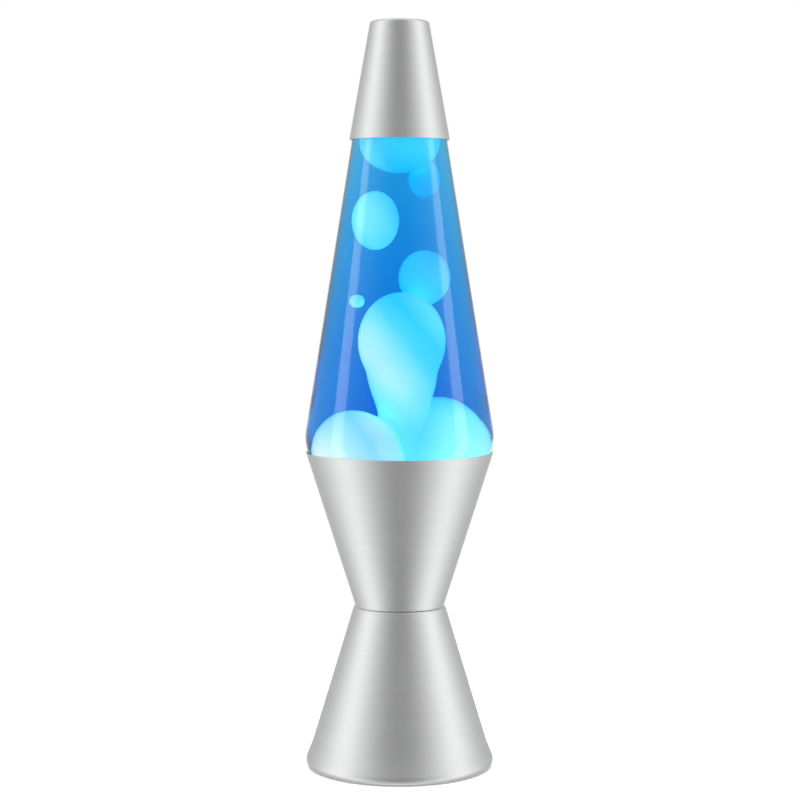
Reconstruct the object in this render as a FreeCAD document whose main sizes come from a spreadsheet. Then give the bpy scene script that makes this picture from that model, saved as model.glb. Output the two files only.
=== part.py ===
"""A 14.5 inch lava lamp: spun aluminium base, glass globe of liquid and wax, lift-off cap.

Millimetres, +Z up, the origin on the floor under the middle of the base. The lamp is a stack of
turned shells on the Z axis, so most outlines are (radius, height) points in the XZ plane.
"""
import FreeCAD, Part
import Sketcher
import math
import os
import re
from FreeCAD import Placement, Rotation, Vector

# Driving dimensions, written to the sheet "Dim" and read back by every expression below.
DIMENSIONS = {
    # base cone: flared foot with a rounded corner, turned-in flanges at the waist and foot
    "waist_radius": 22.65,
    "waist_height": 80.2,
    "base_wall": 0.8,
    "flare_radius": 43.5,
    "flare_height": 12.0,
    "flare_bend": 40.0,
    "foot_radius": 48.1,
    "foot_lift": 0.5,
    "foot_corner": 3.0,
    "foot_flange_radius": 40.0,
    "flange_hole_radius": 18.2,
    # globe cup: an upside-down cone on the waist
    "cup_foot_radius": 21.9,
    "cup_rim_radius": 46.4,
    "cup_rim_height": 157.0,
    "cup_wall": 0.6,
    # cap: a tall cone over the globe's neck
    "lamp_height": 368.3,
    "cap_top_radius": 14.4,
    "cap_rim_radius": 24.7,
    "cap_rim_height": 310.6,
    "cap_wall": 0.7,
    "cap_hem_depth": 1.8,
    "cap_hem_width": 1.1,
    "cap_corner": 1.6,
    # globe: outside of the glass
    "glass_wall": 2.2,
    "globe_floor": 125.0,
    "globe_floor_radius": 35.16,
    "globe_ring_radius": 26.0,
    "globe_punt": 3.0,
    "heel_radius": 47.28,
    "heel_height": 162.64,
    "heel_corner": 24.8,
    "shoulder_radius": 22.15,
    "shoulder_height": 318.0,
    "neck_radius": 12.8,
    "neck_height": 329.0,
    "neck_bore_radius": 10.2,
    "finish_radius": 13.4,
    "finish_height": 341.6,
    "globe_top": 346.0,
    "liquid_level": 334.0,
    "liquid_gap": 0.1,
    # crown closure
    "crown_sheet": 0.5,
    "crown_top_radius": 13.7,
    "crown_skirt_radius": 16.0,
    "crown_height": 6.0,
    "liner_height": 0.6,
    # bottom plate and feet
    "plate_radius": 43.0,
    "plate_underside": 1.3,
    "plate_wall": 2.0,
    "recess_radius": 11.0,
    "recess_depth": 5.0,
    "boss_radius": 13.0,
    "vent_width": 3.0,
    "vent_start": 19.0,
    "vent_end": 29.0,
    "foot_pad_radius": 4.5,
    "foot_ring_radius": 34.0,
    # threaded pipe through the base
    "pipe_radius": 4.8,
    "pipe_bore_radius": 3.4,
    "pipe_bottom": 1.6,
    "pipe_length": 37.4,
    "nut_radius": 9.2,
    "nut_height": 3.4,
    "washer_radius": 8.0,
    "washer_height": 0.8,
    # bracket that carries the socket under the waist
    "bracket_sheet": 1.0,
    "bracket_ring_radius": 20.6,
    "bracket_bore_radius": 16.2,
    "bracket_width": 10.0,
    "rivet_radius": 0.9,
    "rivet_ring_radius": 19.6,
    "rivet_head_radius": 1.5,
    "rivet_head_height": 0.6,
    "web_height": 34.0,
    # E17 screw socket
    "collar_radius": 9.0,
    "collar_height": 5.5,
    "socket_radius": 12.2,
    "socket_height": 26.0,
    "socket_floor": 3.0,
    "socket_bore_radius": 9.65,
    "shell_radius": 9.6,
    "shell_bore_radius": 8.0,
    "shell_height": 19.5,
    "thread_pitch": 2.82,
    "thread_helix_radius": 7.5,
    "thread_ridge": 0.8,
    "thread_groove": 1.1,
    "screw_offset": 6.0,
    "screw_radius": 1.0,
    "screw_length": 6.0,
    "terminal_radius": 2.4,
    "terminal_length": 4.0,
    "lead_radius": 1.0,
    "lead_start": 13.4,
    "splice_offset": 19.0,
    "splice_top": 17.0,
    # R39 reflector bulb, measured up from its tip contact
    "bulb_seat": 45.6,
    "bulb_length": 66.0,
    "bulb_radius": 19.5,
    "bulb_cap_radius": 7.7,
    "bulb_cap_wall": 0.45,
    "bulb_wall": 0.8,
    "filament_radius": 6.0,
    # cord gland in the back of the base
    "gland_height": 22.0,
    "gland_bore_radius": 3.1,
    "gland_barrel_radius": 5.0,
    "gland_flange_radius": 7.5,
    "gland_length": 9.0,
    "gland_flange": 1.8,
    "gland_nut_height": 2.5,
    # wax and the heating coil on the globe's floor
    "coil_ring_radius": 24.0,
    "coil_radius": 3.4,
    "coil_wire_radius": 0.5,
    "pool_height": 150.0,
    "wax_gap": 0.3,
    # how far a drill that makes a through hole reaches
    "drill_length": 20.0,
}

# How many there are of each repeated detail.
RIVET_COUNT = 3
VENT_COUNT = 12
FOOT_COUNT = 4
FLUTE_COUNT = 21
COIL_TURNS = 22
COIL_POINTS_PER_TURN = 12

# Heights worked out from the sheet's dimensions.
SOCKET_BOTTOM = "web_height + bracket_sheet + collar_height"
SOCKET_FLOOR = SOCKET_BOTTOM + " + socket_floor"
TERMINAL_HEIGHT = SOCKET_BOTTOM + " + 7"
GLOBE_INNER_FLOOR = "globe_floor + 1.3*glass_wall"
COIL_HEIGHT = GLOBE_INNER_FLOOR + " + coil_radius + coil_wire_radius + 0.3"

# Height at which the bulb's thread starts; the socket's thread runs in step with it.
THREAD_START = 52.2
BULB_THREAD_TURNS = 4
SOCKET_THREAD_TURNS = 9

DOC = FreeCAD.newDocument("lava_lamp")
NODES = []


def make_sheet():
    """Write each driving dimension as a plain number with its alias beside its name."""
    sheet = DOC.addObject("Spreadsheet::Sheet", "Dim")
    for row, (alias, size) in enumerate(DIMENSIONS.items(), start=1):
        sheet.set("A%d" % row, alias)
        sheet.set("B%d" % row, str(size))
        sheet.setAlias("B%d" % row, alias)
    DOC.recompute()


def formula(text):
    """Turn "cup_wall + 2" into the expression that reads the sheet."""
    return re.sub(r"[a-z_]+", lambda word: "Dim." + word.group(), text)


def term(text):
    """The value of one product or quotient of dimensions and numbers."""
    factors = re.split(r"([*/])", text)
    result = 1.0
    for sign, factor in zip(["*"] + factors[1::2], factors[0::2]):
        size = DIMENSIONS[factor] if factor in DIMENSIONS else float(factor)
        result = result * size if sign == "*" else result / size
    return result


def value(text):
    """The value of a sum such as "cup_rim_radius - 2*cup_wall"."""
    pieces = re.split(r" ([+-]) ", text)
    total = term(pieces[0])
    for sign, piece in zip(pieces[1::2], pieces[2::2]):
        total += term(piece) if sign == "+" else -term(piece)
    return total


def keep(thing, label):
    """Make an object one of the lamp's sub-parts, under its own name."""
    thing.Label = label
    NODES.append(thing)
    return thing


def origin_plane(body, role):
    for feature in body.Origin.OriginFeatures:
        if feature.Role == role:
            return feature
    raise ValueError(role)


def new_sketch(body, name, role="XZ_Plane", lift=None):
    """A sketch on one of the body's own origin planes, lifted off it if asked."""
    sketch = body.newObject("Sketcher::SketchObject", name)
    sketch.AttachmentSupport = (origin_plane(body, role), [""])
    sketch.MapMode = "FlatFace"
    if lift:
        sketch.AttachmentOffset = Placement(Vector(0, 0, value(lift)), Rotation())
        sketch.setExpression("AttachmentOffset.Base.z", formula(lift))
    return sketch


def rules_for_point(geometry, position, across, up):
    """Constraints that tie a point to two expressions, or to an axis where one is zero."""
    for kind, text, axis in (("DistanceX", across, -2), ("DistanceY", up, -1)):
        if text == "0":
            yield Sketcher.Constraint("PointOnObject", geometry, position, axis), None
        else:
            yield Sketcher.Constraint(kind, -1, 1, geometry, position, value(text)), text


def constrain(sketch, rules):
    """Add (constraint, expression or None) pairs together, so that nothing drifts between."""
    first = sketch.ConstraintCount
    sketch.addConstraint([rule for rule, text in rules])
    for index, (rule, text) in enumerate(rules, start=first):
        if text:
            sketch.setExpression("Constraints[%d]" % index, formula(text))


def draw_outline(sketch, points):
    """A closed outline of corners (across, up), each an expression.

    A third expression rounds its corner with a tangent arc: the corner itself stays as a
    construction point that both sides run through.
    """
    corners = [Vector(value(point[0]), value(point[1]), 0) for point in points]
    count = len(corners)
    bends = []
    for index, point in enumerate(points):
        radius = value(point[2]) if len(point) > 2 else 0.0
        bends.append(Bend(corners[index - 1], corners[index], corners[(index + 1) % count], radius))
    first = sketch.GeometryCount
    for index, bend in enumerate(bends):
        following = bends[(index + 1) % count]
        sketch.addGeometry(Part.LineSegment(bend.end, following.start), False)
    rules = []
    for index, point in enumerate(points):
        before = first + (index - 1) % count
        after = first + index
        if bends[index].radius:
            rules += round_corner(sketch, bends[index], before, after, point)
        else:
            rules.append((Sketcher.Constraint("Coincident", before, 2, after, 1), None))
            rules += rules_for_point(after, 1, *point)
    constrain(sketch, rules)


class Bend:
    """A corner of an outline, with the two points where its tangent arc starts and ends."""

    def __init__(self, previous, corner, following, radius):
        inward = (corner - previous).normalize()
        outward = (following - corner).normalize()
        turn = inward.getAngle(outward)
        reach = radius * math.tan(turn / 2)
        self.corner = corner
        self.radius = radius
        self.start = corner - inward * reach
        self.end = corner + outward * reach
        self.left = inward.cross(outward).z > 0
        inside = (outward - inward).normalize()
        self.centre = corner + inside * (radius / math.cos(turn / 2))

    def arc(self):
        """The arc, always anticlockwise, as sketches keep them."""
        first, last = (self.start, self.end) if self.left else (self.end, self.start)
        angles = [math.atan2(point.y - self.centre.y, point.x - self.centre.x)
                  for point in (first, last)]
        circle = Part.Circle(self.centre, Vector(0, 0, 1), self.radius)
        return Part.ArcOfCircle(circle, *angles)


def round_corner(sketch, bend, before, after, point):
    """Draw a corner's arc; the rules make it tangent to both lines and tie the corner."""
    arc = sketch.addGeometry(bend.arc(), False)
    anchor = sketch.addGeometry(Part.Point(bend.corner), True)
    enter, leave = (1, 2) if bend.left else (2, 1)
    across, up, radius = point
    return [
        (Sketcher.Constraint("Tangent", before, 2, arc, enter), None),
        (Sketcher.Constraint("Tangent", arc, leave, after, 1), None),
        (Sketcher.Constraint("PointOnObject", anchor, 1, before), None),
        (Sketcher.Constraint("PointOnObject", anchor, 1, after), None),
        (Sketcher.Constraint("Radius", arc, value(radius)), radius),
        *rules_for_point(anchor, 1, across, up),
    ]


def draw_circle(sketch, radius, across="0", up="0"):
    centre = Vector(value(across), value(up), 0)
    index = sketch.addGeometry(Part.Circle(centre, Vector(0, 0, 1), value(radius)), False)
    rules = [(Sketcher.Constraint("Radius", index, value(radius)), radius)]
    if across == "0" and up == "0":
        rules.append((Sketcher.Constraint("Coincident", index, 3, -1, 1), None))
    else:
        rules += rules_for_point(index, 3, across, up)
    constrain(sketch, rules)


def revolve(body, sketch, name="Revolution"):
    feature = body.newObject("PartDesign::Revolution", name)
    feature.Profile = sketch
    feature.ReferenceAxis = (sketch, ["V_Axis"])
    feature.Angle = 360
    sketch.Visibility = False
    DOC.recompute()
    return feature


def turned(label, points, rounds=()):
    """A solid of revolution about Z from its half outline of (radius, height) corners.

    A corner's third expression rounds it in the sketch; rounds are (radius, height, fillet)
    of edges that are filleted afterwards, for arcs whose full circle would cross the axis.
    """
    body = DOC.addObject("PartDesign::Body", label)
    sketch = new_sketch(body, label + "_outline")
    draw_outline(sketch, points)
    revolve(body, sketch, label + "_turn")
    for number, (radius, height, fillet) in enumerate(rounds):
        round_ring(body, "%s_round%d" % (label, number), radius, height, fillet)
    return body


def round_ring(body, name, radius, height, fillet):
    """Fillet the circular edge that runs round Z at a radius and height."""
    base = body.Tip
    for number, edge in enumerate(base.Shape.Edges, start=1):
        box = edge.BoundBox
        level = abs(box.ZMin - value(height)) < 0.02 and box.ZLength < 0.02
        if level and abs(box.XMax - value(radius)) < 0.02:
            feature = body.newObject("PartDesign::Fillet", name)
            feature.Base = (base, ["Edge%d" % number])
            feature.Radius = value(fillet)
            feature.setExpression("Radius", formula(fillet))
            DOC.recompute()
            return
    raise ValueError("%s: no edge at %s, %s" % (name, radius, height))


def pad(body, sketch, length, name):
    feature = body.newObject("PartDesign::Pad", name)
    feature.Profile = sketch
    feature.Length = value(length)
    feature.setExpression("Length", formula(length))
    sketch.Visibility = False
    DOC.recompute()
    return feature


def pocket(body, sketch, name):
    """Cut a sketch right through the body and make sure that it took something away."""
    before = body.Shape.Volume
    feature = body.newObject("PartDesign::Pocket", name)
    feature.Profile = sketch
    feature.Type = "ThroughAll"
    sketch.Visibility = False
    DOC.recompute()
    assert body.Shape.Volume < before, name
    return feature


def around(body, feature, count, name):
    """Repeat a feature round the Z axis."""
    pattern = body.newObject("PartDesign::PolarPattern", name)
    pattern.Originals = [feature]
    pattern.Axis = (feature.Profile[0], ["N_Axis"])
    pattern.Angle = 360
    pattern.Occurrences = count
    body.Tip = pattern
    DOC.recompute()
    return pattern


def primitive(kind, name, **sizes):
    """A Part primitive whose sizes come from the sheet."""
    thing = DOC.addObject("Part::" + kind, name)
    for size, text in sizes.items():
        setattr(thing, size, value(text))
        thing.setExpression(size, formula(text))
    return thing


def at(thing, *place):
    """Place a primitive by three expressions."""
    thing.Placement = Placement(Vector(*[value(text) for text in place]), Rotation())
    for axis, text in zip("xyz", place):
        thing.setExpression("Placement.Base." + axis, formula(text))


def cylinder(name, radius, height, bottom=None):
    """A cylinder on the Z axis, standing at a height if one is given."""
    thing = primitive("Cylinder", name, Radius=radius, Height=height)
    if bottom:
        at(thing, "0", "0", bottom)
    return thing


def cut(name, base, tool):
    result = DOC.addObject("Part::Cut", name)
    result.Base = base
    result.Tool = tool
    return result


def fuse(name, pieces):
    result = DOC.addObject("Part::MultiFuse", name)
    result.Shapes = pieces
    return result


def group(label, pieces):
    """Separate solids of one kind that share a node."""
    result = DOC.addObject("Part::Compound", label)
    result.Links = pieces
    return keep(result, label)


def shaped(label, shape):
    """A sub-part whose curved shape comes from Part's own functions."""
    feature = DOC.addObject("Part::Feature", label)
    feature.Shape = shape
    return keep(feature, label)


# ---- outer shells ----------------------------------------------------------------------------

def base_cone():
    """Spun cone that flares into a rounded foot, turned in under the bottom plate."""
    outside = turned("base_outside", [
        ("0", "foot_lift"),
        ("foot_radius", "foot_lift"),
        ("flare_radius", "flare_height", "flare_bend"),
        ("waist_radius", "waist_height"),
        ("0", "waist_height"),
    ], [
        ("foot_radius", "foot_lift", "foot_corner"),
        ("waist_radius", "waist_height", "base_wall"),
    ])
    inner_foot = "foot_radius - 1.5*base_wall"
    inside = turned("base_inside", [
        ("0", "foot_lift + base_wall"),
        (inner_foot, "foot_lift + base_wall"),
        ("flare_radius - 1.06*base_wall", "flare_height", "flare_bend"),
        ("waist_radius - 0.8*base_wall", "waist_height - base_wall"),
        ("0", "waist_height - base_wall"),
    ], [(inner_foot, "foot_lift + base_wall", "foot_corner - base_wall")])
    waist_hole = cylinder("waist_hole", "flange_hole_radius", "drill_length",
                          "waist_height - drill_length/2")
    plate_hole = cylinder("plate_hole", "foot_flange_radius", "foot_lift + 2*base_wall")
    gland_hole = cylinder("gland_hole", "gland_barrel_radius", "drill_length")
    gland_hole.Placement = gland_placement(-value("drill_length/2"))
    hollow = fuse("base_hollow", [inside, waist_hole, plate_hole, gland_hole])
    keep(drilled("base_cone", cut("base_shell", outside, hollow)), "base_cone")


def globe_cup():
    """Spun cup whose turned-in flange sits on the base's."""
    body = turned("cup_blank", [
        ("flange_hole_radius", "waist_height"),
        ("cup_foot_radius", "waist_height", "cup_wall"),
        ("cup_rim_radius", "cup_rim_height"),
        ("cup_rim_radius - cup_wall", "cup_rim_height"),
        ("cup_foot_radius - cup_wall", "waist_height + cup_wall"),
        ("flange_hole_radius", "waist_height + cup_wall"),
    ])
    keep(drilled("globe_cup", body), "globe_cup")


def cap():
    """Lift-off cone with a folded hem round its open end."""
    body = turned("cap", [
        ("cap_rim_radius - cap_hem_width", "cap_rim_height"),
        ("cap_rim_radius", "cap_rim_height"),
        ("cap_top_radius", "lamp_height", "cap_corner"),
        ("0", "lamp_height"),
        ("0", "lamp_height - cap_wall"),
        ("cap_top_radius - cap_wall", "lamp_height - cap_wall", "cap_corner - cap_wall"),
        ("cap_rim_radius - cap_wall - 0.3", "cap_rim_height + cap_hem_depth"),
        ("cap_rim_radius - cap_hem_width", "cap_rim_height + cap_hem_depth"),
    ])
    keep(body, "cap")


# ---- globe -----------------------------------------------------------------------------------

def globe_glass():
    """Blown bottle: standing ring and punt, tapered heel, straight taper, neck and finish."""
    body = turned("globe_glass", [
        ("0", "globe_floor + globe_punt"),
        ("globe_ring_radius", "globe_floor"),
        ("globe_floor_radius", "globe_floor"),
        ("heel_radius", "heel_height"),
        ("shoulder_radius", "shoulder_height"),
        ("neck_radius", "neck_height"),
        ("neck_radius", "finish_height - 1"),
        ("finish_radius", "finish_height"),
        ("finish_radius", "globe_top - 0.5"),
        ("finish_radius - 0.5", "globe_top"),
        ("neck_bore_radius", "globe_top"),
        ("neck_bore_radius", "neck_height"),
        ("shoulder_radius - glass_wall", "shoulder_height"),
        ("heel_radius - glass_wall", "heel_height"),
        ("globe_floor_radius - 0.7*glass_wall", GLOBE_INNER_FLOOR),
        ("globe_ring_radius", GLOBE_INNER_FLOOR),
        ("0", GLOBE_INNER_FLOOR + " + globe_punt"),
    ], [
        ("globe_floor_radius", "globe_floor", "6"),
        ("heel_radius", "heel_height", "heel_corner"),
        ("shoulder_radius", "shoulder_height", "5"),
        ("neck_radius", "neck_height", "5"),
        ("neck_bore_radius", "neck_height", "6"),
        ("shoulder_radius - glass_wall", "shoulder_height", "4"),
        ("heel_radius - glass_wall", "heel_height", "heel_corner - glass_wall"),
        ("globe_floor_radius - 0.7*glass_wall", GLOBE_INNER_FLOOR, "4"),
    ])
    keep(body, "globe_glass")


def globe_filling():
    """The space inside the glass up to the liquid's level, a hair clear of the wall."""
    floor = GLOBE_INNER_FLOOR + " + liquid_gap"
    corner = "globe_floor_radius - 0.7*glass_wall - liquid_gap"
    heel = "heel_radius - glass_wall - liquid_gap"
    shoulder = "shoulder_radius - glass_wall - liquid_gap"
    neck = "neck_bore_radius - liquid_gap"
    return turned("filling", [
        ("0", floor + " + globe_punt"),
        ("globe_ring_radius", floor),
        (corner, floor),
        (heel, "heel_height"),
        (shoulder, "shoulder_height"),
        (neck, "neck_height"),
        (neck, "liquid_level"),
        ("0", "liquid_level"),
    ], [
        (neck, "neck_height", "6"),
        (shoulder, "shoulder_height", "4"),
        (heel, "heel_height", "heel_corner - glass_wall"),
        (corner, floor, "4"),
    ])


# ---- waist: bracket, rivets and the pipe that ties the base together -------------------------

def socket_bracket():
    """Stamped stirrup: a ring over both flanges, two legs down and a web that holds the socket."""
    body = DOC.addObject("PartDesign::Body", "bracket_blank")
    half = "bracket_width/2"
    outer = "bracket_bore_radius + bracket_sheet"
    ring = new_sketch(body, "ring_outline", "XY_Plane", "waist_height + cup_wall")
    draw_circle(ring, "bracket_ring_radius")
    draw_circle(ring, "bracket_bore_radius")
    pad(body, ring, "bracket_sheet", "ring")
    leg = new_sketch(body, "leg_outline", "XY_Plane", "web_height")
    draw_outline(leg, [("bracket_bore_radius", "0 - " + half), (outer, "0 - " + half),
                       (outer, half), ("bracket_bore_radius", half)])
    side = pad(body, leg, "waist_height + cup_wall - web_height", "leg")
    around(body, side, 2, "legs")
    strip = new_sketch(body, "web_outline", "XY_Plane", "web_height")
    draw_outline(strip, [("0 - " + outer, "0 - " + half), (outer, "0 - " + half),
                         (outer, half), ("0 - " + outer, half)])
    pad(body, strip, "bracket_sheet", "web")
    disc = new_sketch(body, "seat_outline", "XY_Plane", "web_height")
    draw_circle(disc, "collar_radius + 1")
    pad(body, disc, "bracket_sheet", "seat")
    hole = new_sketch(body, "pipe_hole_outline", "XY_Plane", "web_height + 3*bracket_sheet")
    draw_circle(hole, "pipe_radius")
    pocket(body, hole, "pipe_hole")
    keep(drilled("socket_bracket", body), "socket_bracket")


def turned_tube(label, inner, outer, bottom, top):
    """A plain ring or pipe about Z."""
    corners = [(inner, bottom), (outer, bottom), (outer, top), (inner, top)]
    return keep(turned(label, corners), label)


def lamp_pipe():
    turned_tube("lamp_pipe", "pipe_bore_radius", "pipe_radius",
                "pipe_bottom", "pipe_bottom + pipe_length")


def hex_nut(name, bottom):
    """A hexagon nut on the pipe, its thread drawn as a plain bore."""
    prism = primitive("Prism", name + "_prism", Circumradius="nut_radius", Height="nut_height")
    at(prism, "0", "0", bottom)
    bore = cylinder(name + "_bore", "pipe_radius", "nut_height", bottom)
    return cut(name, prism, bore)


def pipe_washer(name, bottom):
    disc = cylinder(name + "_disc", "washer_radius", "washer_height", bottom)
    bore = cylinder(name + "_bore", "pipe_radius", "washer_height", bottom)
    return cut(name, disc, bore)


def pipe_fasteners():
    """One nut and washer under the bottom plate, one pair under the bracket's web."""
    plate_seat = "plate_underside + recess_depth - washer_height"
    web_seat = "web_height - washer_height"
    group("pipe_washers", [pipe_washer("plate_washer", plate_seat),
                           pipe_washer("web_washer", web_seat)])
    group("pipe_nuts", [hex_nut("plate_nut", plate_seat + " - nut_height"),
                        hex_nut("web_nut", web_seat + " - nut_height")])


# ---- socket ----------------------------------------------------------------------------------

def socket_collar():
    """Threaded collar on the pipe's top, clamping the web against the nut below it."""
    blank = turned("collar_blank", [
        ("pipe_radius", "web_height + bracket_sheet"),
        ("collar_radius", "web_height + bracket_sheet"),
        ("collar_radius", SOCKET_BOTTOM),
        ("0", SOCKET_BOTTOM),
        ("0", "pipe_bottom + pipe_length"),
        ("pipe_radius", "pipe_bottom + pipe_length"),
    ])
    keep(cut("socket_collar", blank, fuse("collar_screw_holes", screw_shanks("collar"))),
         "socket_collar")


def screw_shanks(owner):
    """The two cylinders that the socket's fixing screws fill, below the socket's floor."""
    bottom = SOCKET_FLOOR + " - screw_length"
    shanks = []
    for side, across in (("left", "0 - screw_offset"), ("right", "screw_offset")):
        shank = cylinder("%s_%s_shank" % (owner, side), "screw_radius", "screw_length", bottom)
        at(shank, across, "0", bottom)
        shanks.append(shank)
    return shanks


def socket_screws():
    """Pan-head screws through the socket's floor into the collar."""
    screws = []
    shanks = screw_shanks("screw")
    for shank, across in zip(shanks, ("0 - screw_offset", "screw_offset")):
        head = cylinder(shank.Name + "_head", "1.8*screw_radius", "1.3")
        at(head, across, "0", SOCKET_FLOOR)
        screws.append(fuse(shank.Name + "_screw", [shank, head]))
    group("socket_screws", screws)


def socket_body():
    """Moulded cup with side holes for the terminal screws and floor holes for the fixings."""
    rim = SOCKET_BOTTOM + " + socket_height"
    blank = turned("socket_blank", [
        ("0", SOCKET_BOTTOM),
        ("socket_radius", SOCKET_BOTTOM, "2"),
        ("socket_radius", rim, "1"),
        ("socket_bore_radius", rim),
        ("socket_bore_radius", SOCKET_FLOOR),
        ("0", SOCKET_FLOOR),
    ])
    holes = screw_shanks("socket")
    for name, turn in (("front", 90), ("back", -90)):
        hole = cylinder("terminal_hole_" + name, "terminal_radius", "2*socket_radius")
        hole.Placement = Placement(Vector(0, 0, value(TERMINAL_HEIGHT)),
                                   Rotation(Vector(1, 0, 0), turn))
        holes.append(hole)
    keep(cut("socket_body", blank, fuse("socket_holes", holes)), "socket_body")


def thread_ridge(radius, bottom, turns):
    """A round ridge along a right-hand helix, in step with every other thread of the socket."""
    pitch = value("thread_pitch")
    helix = Part.makeHelix(pitch, turns * pitch, value("thread_helix_radius"))
    start = Vector(value("thread_helix_radius"), 0, 0)
    section = Part.Wire([Part.makeCircle(radius, start, Vector(0, 1, 0))])
    ridge = Part.Wire(helix.Edges).makePipeShell([section], True, True)
    ridge.translate(Vector(0, 0, bottom))
    return ridge


def socket_shell():
    """Brass sleeve with the female thread rolled into it.

    The bore runs past both ends of the sleeve, as far as the groove does.
    """
    pitch = value("thread_pitch")
    bottom = value(SOCKET_FLOOR)
    sleeve = Part.makeCylinder(value("shell_radius"), value("shell_height"), Vector(0, 0, bottom))
    groove_start = THREAD_START - 3 * pitch
    groove = thread_ridge(value("thread_groove"), groove_start, SOCKET_THREAD_TURNS)
    bore = Part.makeCylinder(value("shell_bore_radius"), (SOCKET_THREAD_TURNS + 2) * pitch,
                             Vector(0, 0, groove_start - pitch))
    shaped("socket_shell", sleeve.cut(bore.fuse(groove)))


def socket_contact():
    """Sprung button that the bulb's tip presses on."""
    top = "bulb_seat - 0.1"
    keep(turned("socket_contact", [
        ("0", SOCKET_FLOOR), ("3.4", SOCKET_FLOOR), ("3.4", SOCKET_FLOOR + " + 0.5"),
        ("1.6", top), ("0", top),
    ]), "socket_contact")


def terminal_screws():
    """One brass screw in each side of the socket."""
    screws = []
    for name, turn in (("front", 90), ("back", -90)):
        screw = cylinder("terminal_" + name, "terminal_radius", "terminal_length")
        outward = Vector(0, -1 if turn > 0 else 1, 0)
        screw.Placement = Placement(outward * value("socket_bore_radius + 0.2")
                                    + Vector(0, 0, value(TERMINAL_HEIGHT)),
                                    Rotation(Vector(1, 0, 0), turn))
        screws.append(screw)
    group("terminal_screws", screws)


def socket_lead(label, side):
    """A lead from a terminal screw, stepping out past the web to its splice cap."""
    body = DOC.addObject("PartDesign::Body", label)
    inner = side + "*lead_start"
    outer = side + "*splice_offset"
    start = TERMINAL_HEIGHT + " - terminal_radius"
    route = [(inner, start), (inner, "web_height + 2"), (outer, "web_height - 8"),
             (outer, "splice_top")]
    spine = new_sketch(body, label + "_route", "YZ_Plane")
    draw_run(spine, route)
    section = new_sketch(body, label + "_section", "XY_Plane", start)
    draw_circle(section, "lead_radius", "0", inner)
    pipe = body.newObject("PartDesign::AdditivePipe", label + "_pipe")
    pipe.Profile = section
    pipe.Spine = (spine, ["Edge%d" % edge for edge in range(1, len(route))])
    pipe.Transition = "Round corner"
    spine.Visibility = False
    section.Visibility = False
    DOC.recompute()
    keep(body, label)


def draw_run(sketch, points):
    """An open chain of straight lines whose points are pairs of expressions."""
    corners = [Vector(value(across), value(up), 0) for across, up in points]
    for begin, end in zip(corners, corners[1:]):
        sketch.addGeometry(Part.LineSegment(begin, end), False)
    rules = [(Sketcher.Constraint("Coincident", index, 2, index + 1, 1), None)
             for index in range(len(points) - 2)]
    for index, point in enumerate(points[:-1]):
        rules += rules_for_point(index, 1, *point)
    rules += rules_for_point(len(points) - 2, 2, *points[-1])
    constrain(sketch, rules)


def splice_caps():
    """Closed-end crimp caps where the leads meet the supply cord's wires."""
    cap_body = turned("splice_cap", [
        ("0", "plate_underside + plate_wall"), ("2.4", "plate_underside + plate_wall"),
        ("3.2", "splice_top"), ("0", "splice_top"),
    ])
    offset = value("splice_offset")
    places = [Vector(0, -offset, 0), Vector(0, offset, 0)]
    group("splice_caps", linked("splice_cap", cap_body, [Placement(place, Rotation())
                                                         for place in places]))


# ---- base: plate, feet, rivets, gland --------------------------------------------------------

def bottom_plate():
    """Moulded disc on the foot's flange, with a recess for the pipe's nut and a ring of vents."""
    top = "plate_underside + plate_wall"
    body = turned("bottom_plate", [
        ("pipe_radius", "plate_underside + recess_depth"),
        ("recess_radius", "plate_underside + recess_depth"),
        ("recess_radius", "plate_underside"),
        ("plate_radius", "plate_underside"),
        ("plate_radius", top),
        ("boss_radius", top),
        ("boss_radius", "plate_underside + recess_depth + plate_wall"),
        ("pipe_radius", "plate_underside + recess_depth + plate_wall"),
    ])
    slot = new_sketch(body, "vent_outline", "XY_Plane", "plate_underside + 4*plate_wall")
    half = "vent_width/2"
    draw_outline(slot, [("vent_start", "0 - " + half), ("vent_end", "0 - " + half),
                        ("vent_end", half), ("vent_start", half)])
    vent = pocket(body, slot, "vent")
    around(body, vent, VENT_COUNT, "vents")
    keep(body, "bottom_plate")


def linked(name, piece, placements):
    """Copies of one solid at several places."""
    copies = []
    for index, placement in enumerate(placements):
        link = DOC.addObject("App::Link", "%s_%d" % (name, index))
        link.LinkedObject = piece
        link.Placement = placement
        copies.append(link)
    return copies


def ring_placements(count, radius, start=0.0):
    """Even places round the axis."""
    for index in range(count):
        turn = math.radians(start + 360.0 * index / count)
        yield Placement(Vector(radius * math.cos(turn), radius * math.sin(turn), 0), Rotation())


def rubber_feet():
    pad_body = turned("foot_pad", [
        ("0", "0"),
        ("foot_pad_radius", "0", "0.6"),
        ("foot_pad_radius", "plate_underside"),
        ("0", "plate_underside"),
    ])
    group("rubber_feet", linked("foot", pad_body,
                                ring_placements(FOOT_COUNT, value("foot_ring_radius"), 45)))


def flange_rivets():
    """Three rivets through the bracket's ring and the two shells' flanges."""
    top = "waist_height + cup_wall + bracket_sheet"
    bottom = "waist_height - base_wall"
    rivet = turned("rivet", [
        ("0", bottom + " - rivet_head_height"),
        ("rivet_head_radius", bottom + " - rivet_head_height"),
        ("rivet_head_radius", bottom),
        ("rivet_radius", bottom),
        ("rivet_radius", top),
        ("rivet_head_radius", top),
        ("0.7*rivet_head_radius", top + " + rivet_head_height"),
        ("0", top + " + rivet_head_height"),
    ])
    group("flange_rivets", linked("rivet", rivet, rivet_places()))


def rivet_places():
    return list(ring_placements(RIVET_COUNT, value("rivet_ring_radius"), 90))


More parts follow.
